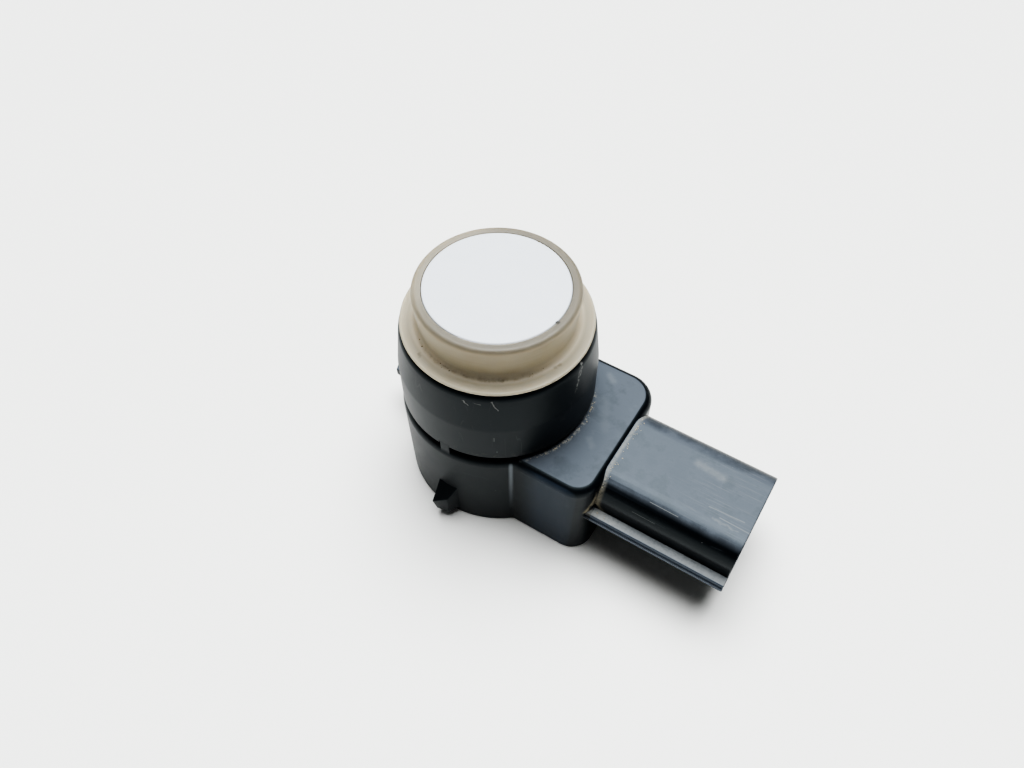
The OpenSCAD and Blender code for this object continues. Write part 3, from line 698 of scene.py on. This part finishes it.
def findHousing(f):
    # masks that the steps of the housing's finish share: on the shroud, past the block's face and rounded
    # edge, with the distance taken from the line round which that edge is rounded
    h = housingSizes
    rise = f.most(f.z - (h["top"] - h["edge"]), 0.0)
    run = f.most(f.x - (h["blockX"] - h["edge"]), 0.0)
    f.side = abs(f.y)
    f.beyond = f.math("SQRT", rise * rise + run * run) - h["edge"]
    f.past = f.ramp(f.beyond, 0.01, 0.05) * f.ramp(run, 0.0, 0.1)
    # what faces up, and the rear lug's sloping top
    rearLug = f.ramp(f.up, 0.85, 0.91) * f.ramp(f.x, 0.1 - h["barrel"], -0.3 - h["barrel"])
    f.top = f.most(f.ramp(f.up, 0.955 - 0.24 * f.past, 0.99), rearLug)


def housingHazeAndSheen(f, base):
    # a thin bluish film of handling haze on what faces up, thicker in patches, partly painted sheen for the
    # sky's reflection; fainter ones on the near wall and on the rails' sides are partly painted reflection
    # too
    s, h = shroudSizes, housingSizes
    filmAndSheen = f.top * (0.76 + 0.48 * f.ramp(f.cloud, 0.3, 0.7)) * (0.88 + 0.24 * f.grain)
    filmAndSheen = filmAndSheen * f.ramp(f.z, h["top"] + 0.6, h["top"] + 0.2)
    base = f.mix(filmAndSheen * (1 - 0.3 * f.ramp(f.y, 3.4, 5.0) * f.past), base, dirtAndSheenTones["filmAndSheen"])
    # partly painted reflection: a lighter bluish tone on the near wall
    wall = f.ramp(f.y, 0.45 - h["halfBlock"], 0.25 - h["halfBlock"]) * f.band(f.x, 9.3, 14.8, 1.6)
    base = f.mix(wall * (0.5 + 0.5 * f.cloud), base, dirtAndSheenTones["wallHazeAndSheen"])
    # partly painted reflection: a lighter bluish tone on the rails' outer sides
    rails = f.ramp(f.side, s["railOut"] - 0.1, s["railOut"] - 0.02) * f.past
    return f.mix(rails, base, dirtAndSheenTones["railHazeAndSheen"]), filmAndSheen


def housingScuffs(f, base):
    # rubbed streaks along the connector, most of them near the mouth
    along = f.noise(0.12, 3.0, 0.6, f.stretch((0.03, 1, 1)))
    rubbed = f.ramp(along, 0.52, 0.74) * f.band(f.x, 25, 33, 4.0) * f.top * f.past
    smear = f.marks(shroudSmear, onShroud) * (0.06 + 0.22 * f.uneven)
    scratches = f.marks(shroudScratches, onShroud)
    base = f.mix(f.most(rubbed * 0.16, smear, scratches), base, dirtAndSheenTones["pale"])
    # scuffs on the plate, a light mark down the crease that fades towards the foot, and fine hairlines
    scuffs = f.marks(plateScuffs, onPlate) * (0.5 + f.uneven)
    crease = f.stroke(*creaseMark) * f.ramp(f.z, 1.0, 12.0)
    lines = f.hairlines((0.05, 0.35, 0.35), 0.9, 0.012) * f.ramp(f.cloud, 0.52, 0.68)
    return f.mix(f.most(scuffs, lines * 0.1, crease * 0.85), base, dirtAndSheenTones["rub"])


def railDust(f, base):
    # pale dust on the rails, most of it near the block; on the lips beside them, dust and painted highlight
    s = shroudSizes
    onRail = f.band(f.side, s["half"] + 0.08, s["railOut"] - 0.1, 0.08) * f.near(f.z, s["railTop"], 0.16)
    # the lips' line is partly painted highlight on their up-facing tops
    onLip = f.ramp(f.side, s["railOut"] + 0.02, s["railOut"] + 0.06) * f.near(f.z, s["lipTop"], 0.1)
    thick = 0.40 + 0.22 * f.ramp(f.x, 22.5, 17.5)
    dust = onRail * f.ramp(f.up, 0.5, 0.9) * thick * (0.72 + 0.4 * f.ramp(f.uneven, 0.3, 0.6)) * f.past
    return f.mix(f.most(dust, onLip * 0.16 * f.past), base, dirtAndSheenTones["pale"]), dust


def cornerDirt(f, base):
    # pale on the shroud's top beside the block, tan down its side, on the block's face over the rail's root
    # and round the sleeve's foot
    s, h = shroudSizes, housingSizes
    level = f.ramp(f.up, 0.35, 0.75)
    over, out = f.z - s["railTop"], f.side - s["half"]
    reach = 0.45 + 0.25 * f.ramp(f.side, 3.5, 6.0) + 0.9 * f.ramp(over, 0.8, 0.0)
    corner = f.ramp(f.beyond / reach, 1.1, 0.3) * f.past * f.ramp(over, -0.1, 0.1)
    high, wide = 3.3, 1.6  # of the triangle over the rail's root
    patch = f.ramp(over / high + out / wide, 1.1, 0.85) * f.ramp(out, -0.1, 0.05) * f.ramp(over, -0.15, 0.05)
    patch = patch * f.ramp(f.x, h["blockX"] - 1.02, h["blockX"] - 0.62) * (1 - f.past)
    foot = f.band(f.r - sleeveSizes["r"], -0.2, 0.3, 0.2) * f.near(f.z, h["top"], 0.2)
    foot = foot * f.band(f.angle, -44, 22, 8.0) * f.ramp(f.uneven, 0.5, 0.62)
    dirt = f.most(corner * (0.46 - 0.04 * level), patch * 0.62, foot * 0.6)
    dirt = dirt * f.ramp(f.uneven, 0.22, 0.56) * (1 - f.stroke(*cleanSpot, f.shaken))
    return f.mix(dirt, base, f.mix(level * 0.7, dirtAndSheenTones["tan"], dirtAndSheenTones["pale"])), dirt


def looseSpecks(f):
    # all over, and closer together on the near wall beside the crease
    h = housingSizes
    wall = f.band(f.x, 8.0, 11.3, 0.6) * f.band(f.z, 10.2, 12.4, 0.5)
    wall = wall * f.ramp(f.y, 0.36 - h["halfBlock"], 0.26 - h["halfBlock"])
    return f.most(f.specks(0.8, 0.05, 0.16), f.specks(0.5, 0.04, 0.25) * wall)


def blackPlastic(f, base, rough, relief, strength, depth):
    return f.surface({"Base Color": base, "Roughness": rough, "Specular IOR Level": 0.22,
                      "Specular Tint": blackTones["gleam"], "Normal": f.bump(relief, strength, depth)})


def satinBlack():
    f = Finish("satinBlack")
    f.millimetres()
    f.patterns(0.09, 2.4, 0.45, (0.6, 0.7))
    findHousing(f)
    base = f.mix(f.cloud, blackTones["deep"], blackTones["light"])
    base, filmAndSheen = housingHazeAndSheen(f, base)
    base = housingScuffs(f, base)
    base, dust = railDust(f, base)
    base, dirt = cornerDirt(f, base)
    dots = looseSpecks(f)
    base = f.mix(dots * 0.5, base, dirtAndSheenTones["pale"])
    # worn edge of the mouth
    mouth = shroudSizes["mouth"]
    worn = f.ramp(f.x, mouth - 0.16, mouth - 0.04) * f.ramp(f.uneven, 0.35, 0.65)
    base = f.mix(worn * 0.3, base, dirtAndSheenTones["rub"])
    # smoother on the connector, dull where something lies on it
    rough = 0.36 - 0.14 * f.ramp(f.x, 14.5, 17.0) + 0.10 * f.cloud + 0.06 * f.grain
    rough = rough + (0.85 - rough) * f.most(dirt, dust, filmAndSheen * 0.25, dots)
    return blackPlastic(f, base, rough, f.grain * 0.5 + f.uneven * dirt, 0.25, 0.05)


def glossBlack():
    f = Finish("glossBlack")
    f.millimetres()
    f.patterns(0.08, 3.5, 0.4, (0.5, 0.5))
    base = f.mix(f.cloud, blackTones["deep"], blackTones["light"])
    # scratches and broken smears on the outer side, and dust settled along the lower edge
    smears = f.marks(sleeveSmears, onSleeve) * f.ramp(f.uneven, 0.4, 0.6)
    marks = f.most(f.marks(sleeveScratches, onSleeve), smears)
    lines = f.hairlines((0.3, 0.3, 0.05), 0.8, 0.010) * f.ramp(f.cloud, 0.5, 0.66)
    dots = f.specks(0.9, 0.05, 0.10)
    low = sleeveSizes["low"]
    dust = f.ramp(f.z, low + 1.2, low + 0.4) * f.ramp(f.uneven, 0.5, 0.75) * 0.12
    base = f.mix(f.most(marks, lines * 0.05, dots * 0.3), base, dirtAndSheenTones["pale"])
    base = f.mix(dust, base, dirtAndSheenTones["tan"])
    rough = 0.36 + 0.10 * f.cloud + 0.04 * f.grain
    rough = rough + (0.8 - rough) * f.most(marks, dust, dots)
    return blackPlastic(f, base, rough, f.grain + lines, 0.12, 0.02)


def silicone():
    f = Finish("siliconeBeige")
    f.millimetres()
    f.patterns(0.12, 2.2, 0.5, (0.5, 0.6))
    s, tone = ringSizes, siliconeTones
    above, out = f.z - s["flangeTop"], f.r - s["neckLow"]
    base = f.mix(f.cloud, tone["dark"], tone["light"])
    # painted light: lighter low on the neck, where light shines through the thin wall
    low = f.ramp(above, 3.0, 0.5) * f.ramp(out, 1.0, 0.4)
    base = f.mix(low * (0.12 + 0.78 * f.ramp(above, 1.0, 0.3)), base, tone["glow"])
    # painted shade: the neck is darker in front
    base = f.mix(0.3 * f.band(f.angle, -92, -30, 18.0) * f.ramp(out, 0.6, 0.3), base, tone["front"])
    # greyer on the lip, paler on the flange with a light outer edge
    base = f.mix(f.ramp(f.z, s["top"] - 0.5, s["top"] - 0.12) * 0.8, base, tone["lip"])
    base = f.mix(f.ramp(out, 0.5, 1.1) * f.ramp(above, 0.3, 0.0) * 0.8, base, tone["flange"])
    base = f.mix(f.ramp(f.r, s["flangeR"] - 0.32, s["flangeR"] - 0.1) * 0.5, base, tone["rim"])
    # painted light: paler where light comes through from behind; and faint rings from the mould
    base = f.mix(0.32 * f.band(abs(f.angle), 128, 200, 25.0), base, tone["behind"])
    around = f.node("CombineXYZ", None, {0: f.r, 1: f.z * 0.6, 2: f.angle * 0.006})
    base = f.mix(0.14 * f.ramp(f.noise(0.22, 2.0, 0.5, around), 0.35, 0.75), base, tone["mould"])
    # brown dirt in the corner under the neck, strongest towards the front, blots on the flange, and bits
    front = 0.15 + 0.85 * f.band(f.angle, -118, -30, 16.0)
    stain = f.ramp(out, 0.7, 0.35) * f.ramp(above, 0.6, 0.1) * front * f.ramp(f.uneven, 0.40, 0.72)
    blots = f.marks(ringBlots, onFlange) * f.ramp(f.uneven, 0.3, 0.55)
    base = f.mix(f.most(stain * 0.3, blots * 0.5), base, dirtAndSheenTones["brown"])
    base = f.mix(f.specks(0.6, 0.05, 0.10) * 0.6, base, tone["bits"])
    base = f.mix(f.marks(ringCrumb, onFace), base, tone["crumb"])
    return f.surface({"Base Color": base, "Roughness": 0.46 + 0.12 * f.cloud + 0.2 * stain,
                      "Subsurface Weight": 0.85, "Subsurface Radius": (1.0, 0.85, 0.65),
                      "Subsurface Scale": 0.002, "Normal": f.bump(f.grain + f.uneven * stain, 0.12, 0.03)})


def whitePaint():
    f = Finish("whitePaint")
    f.millimetres()
    tone, rim = paintTones, ringSizes["bore"]
    fleck = f.noise(0.22, 3.0, 0.6)
    cloud = f.noise(3.0, 4.0, 0.6)
    base = f.mix(fleck, tone["dark"], tone["light"])
    base = f.mix(f.ramp(cloud, 0.45, 0.75) * 0.35, base, tone["cloud"])
    # painted shade at the rounded edge, greyer and most of all in front; and a few specks
    thin = f.ramp(f.r, rim - 0.3, rim - 0.06) * (0.3 + 0.45 * f.band(f.angle, -115, -15, 25.0))
    base = f.mix(thin, base, tone["edge"])
    base = f.mix(f.specks(1.6, 0.05, 0.12) * 0.35, base, tone["speck"])
    base = f.mix(f.marks(faceCrumb, onFace), base, tone["crumb"])
    return f.surface({"Base Color": base, "Roughness": 0.48 + 0.1 * cloud,
                      "Normal": f.bump(fleck, 0.1, 0.02)})


def plainFinish(name, dark, light, rough, metal, size):
    f = Finish(name)
    f.millimetres()
    cloud = f.noise(size, 4.0)
    return f.surface({"Base Color": f.mix(cloud, colour(*dark), colour(*light)),
                      "Roughness": rough + 0.12 * cloud, "Metallic": metal})


for piece, slot, node, made in ((housing, "satin_black", "housing", satinBlack()),
                                (sleeve, "gloss_black", "front_sleeve", glossBlack()),
                                (ring, "silicone", "decoupling_ring", silicone())):
    piece.data.materials.clear()
    piece.data.materials.append(made)
    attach(piece, "root")
    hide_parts(node)

nodes["membrane_cup"].material_slots[0].material = whitePaint()
innerFinishes = {
    # slot: (dark, light, roughness, metallic, size of the pattern in mm)
    "piezo_ceramic": ((0.62, 0.52, 0.32), (0.72, 0.62, 0.40), 0.5, 0.0, 1.0),
    "damping_foam": ((0.22, 0.22, 0.24), (0.30, 0.30, 0.32), 0.8, 0.0, 0.4),
    "holder_plastic": ((0.025, 0.025, 0.03), (0.04, 0.04, 0.045), 0.45, 0.0, 1.5),
    "seal_rubber": ((0.04, 0.025, 0.018), (0.06, 0.036, 0.025), 0.6, 0.0, 0.8),
    "copper": ((0.62, 0.30, 0.15), (0.76, 0.40, 0.21), 0.25, 1.0, 0.6),
    "tinned_brass": ((0.62, 0.55, 0.38), (0.80, 0.74, 0.58), 0.25, 1.0, 0.8),
    "board_laminate": ((0.015, 0.11, 0.045), (0.025, 0.16, 0.07), 0.35, 0.0, 0.7),
    "chip_resin": ((0.012, 0.012, 0.014), (0.02, 0.02, 0.022), 0.5, 0.0, 0.3),
    "ferrite": ((0.055, 0.055, 0.065), (0.085, 0.085, 0.095), 0.6, 0.0, 0.4),
    "capacitor_case": ((0.52, 0.32, 0.05), (0.64, 0.41, 0.08), 0.45, 0.0, 0.6),
    "capacitor_ceramic": ((0.34, 0.21, 0.11), (0.43, 0.28, 0.16), 0.5, 0.0, 0.4),
    "cover_black": ((0.012, 0.013, 0.015), (0.022, 0.023, 0.026), 0.42, 0.0, 2.0),
}
finishOf = {slot: plainFinish(slot, *values) for slot, values in innerFinishes.items()}
for row in frame["record"]["subparts"]:
    if row["material_slot"] in finishOf:
        nodes[row["node"]].material_slots[0].material = finishOf[row["material_slot"]]
print("finishes set")


# crumbs of dust in the corners
crumbSizes = {
    # how many there are in each place, and their least and largest radius
    "corner": 44, "rail": 12, "foot": 48, "ring": 30, "least": 0.03, "most": 0.09,
    # the stretches where they lie, and how far they spread from there
    "cornerY": (-6.15, 4.2), "footAngles": (-42, 24), "ringAngles": (-117, -93, -74, -59, -33, 46, 122),
    "cornerSpread": 0.3, "railSpread": 1.3, "footSpread": 0.09, "ringSpread": 0.16, "ringTurn": 4.5,
}


def makeCrumbs(name, places, s, finish):
    # each crumb is a sphere's grid of polar angle and turn, its radius waved by direction, and flattened;
    # its middle lies on the surface
    rows, columns = 5, 6
    polar, turn = np.meshgrid(np.linspace(0, math.pi, rows),
                              np.linspace(0, 2 * math.pi, columns, endpoint=False), indexing="ij")
    ball = np.stack([np.sin(polar) * np.cos(turn), np.sin(polar) * np.sin(turn), np.cos(polar)], -1)
    ball = ball.reshape(-1, 3)
    count = len(places)
    size = s["least"] + (s["most"] - s["least"]) * rng.random(count) ** 2.5
    pull = rng.normal(size=(count, 3)) * 2.0
    wave = 1 + 0.3 * np.sin(ball @ pull.T + rng.random(count) * 6).T
    shape = size[:, None] * np.stack([0.8 + 0.5 * rng.random(count), 0.8 + 0.5 * rng.random(count),
                                      0.5 + 0.3 * rng.random(count)], -1)
    points = places[:, None] + (ball[None] * wave[..., None]) * shape[:, None]
    faces = gridFaces(rows, columns)[:-columns]
    piece = makePiece(name, [(row, faces) for row in points], 1e-3)
    piece.data.shade_smooth()
    piece.data.materials.append(finish)
    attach(piece, "root")


def crumbPlaces(s):
    h, sh, r = housingSizes, shroudSizes, ringSizes
    # along the corner of block and shroud, following the shroud's section
    y = rng.uniform(*s["cornerY"], s["corner"])
    past = np.abs(rng.normal(0, s["cornerSpread"], s["corner"]))
    corner = np.column_stack([h["blockX"] + 0.04 + past, y, shroudHeight(y)])
    # on both rails, close to the block
    past = rng.exponential(s["railSpread"], s["rail"])
    side = rng.choice([-1, -1, 1], s["rail"])
    out = rng.uniform(sh["half"] + 0.1, sh["railOut"] - 0.12, s["rail"])
    rail = np.column_stack([h["blockX"] + 0.1 + past, side * out, np.full(s["rail"], sh["railTop"])])
    # on the plate round the sleeve's foot
    a = np.radians(rng.uniform(*s["footAngles"], s["foot"]))
    reach = sleeveSizes["r"] + s["least"] + np.abs(rng.normal(0, s["footSpread"], s["foot"]))
    foot = np.column_stack([reach * np.cos(a), reach * np.sin(a), np.full(s["foot"], h["top"])])
    # in the corner between the ring's neck and flange, on the fillet
    a = np.radians(rng.choice(s["ringAngles"], s["ring"]) + rng.normal(0, s["ringTurn"], s["ring"]))
    reach = r["neckLow"] + s["ringSpread"] + np.abs(rng.normal(0, s["ringSpread"], s["ring"]))
    hollow = np.clip(r["neckLow"] + r["fillet"] - reach, 0, r["fillet"])
    ringZ = r["flangeTop"] + r["fillet"] - np.sqrt(r["fillet"] ** 2 - hollow ** 2)
    ring = np.column_stack([reach * np.cos(a), reach * np.sin(a), ringZ])
    return np.concatenate([corner, rail, foot]), ring


tanPlaces, brownPlaces = crumbPlaces(crumbSizes)
tanDust = plainFinish("tanDust", (0.30, 0.26, 0.18), (0.42, 0.38, 0.29), 0.8, 0.0, 0.1)
brownDirt = plainFinish("brownDirt", (0.06, 0.04, 0.018), (0.14, 0.10, 0.05), 0.8, 0.0, 0.1)
makeCrumbs("tanCrumbs", tanPlaces, crumbSizes, tanDust)
makeCrumbs("brownCrumbs", brownPlaces, crumbSizes, brownDirt)
print("crumbs:", len(tanPlaces) + len(brownPlaces))


# floor, a pale sweep that rises at its far rim, and soft studio light
floorSizes = {"flat": 1.0, "bend": 0.6, "rise": 0.05}  # metres
floorTones = {"dark": colour(0.875, 0.86, 0.825), "light": colour(0.895, 0.88, 0.845)}


def makeFloor(s):
    # radius and height of the sweep carried round Z: flat, then rising with the square of the distance
    t = np.linspace(0, 1, 14)
    r = np.concatenate([np.linspace(0, s["flat"], 6), s["flat"] + s["bend"] * t[1:]])
    z = np.concatenate([np.zeros(6), s["rise"] * t[1:] ** 2])
    angles = np.linspace(0, 2 * math.pi, 96, endpoint=False)
    grid = latheGrid(np.column_stack([r, z]), angles) / mm
    faces = gridFaces(*grid.shape[:2])[:-len(angles)]
    piece = makePiece("floor", [(grid.reshape(-1, 3), faces)])
    if piece.data.polygons[0].normal.z < 0:
        piece.data.flip_normals()
    smoothShade(piece, 60)
    f = Finish("paleFloor")
    f.millimetres()
    cloud = f.noise(40.0, 4.0)
    base = f.mix(cloud, floorTones["dark"], floorTones["light"])
    piece.data.materials.append(f.surface({"Base Color": base, "Roughness": 0.7}))


lightLevels = {
    "tint": (0.95, 0.98, 1.0), "fill": 0.08, "box": 14.5,
    "boxTowards": (-0.085, 0.234, 0.969), "boxInner": 0.988, "boxOuter": 0.86,  # cosines of its soft rim
}


def makeLight(s):
    # one large soft box overhead, a little behind the part, and a dim even fill
    world = bpy.data.worlds.new("studio")
    world.use_nodes = True
    bpy.context.scene.world = world
    f = Finish("studio", world.node_tree)
    ray = f.node("TexCoord", out="Generated")
    toward = f.vector("DOT_PRODUCT", ray, s["boxTowards"], "Value")
    glow = s["fill"] + s["box"] * f.ramp(toward, s["boxOuter"], s["boxInner"])
    sky = f.node("Background", None, {"Color": colour(*s["tint"]), "Strength": glow})
    f.node("OutputWorld", None, {"Surface": sky})


makeFloor(floorSizes)
makeLight(lightLevels)
print("floor and light set")
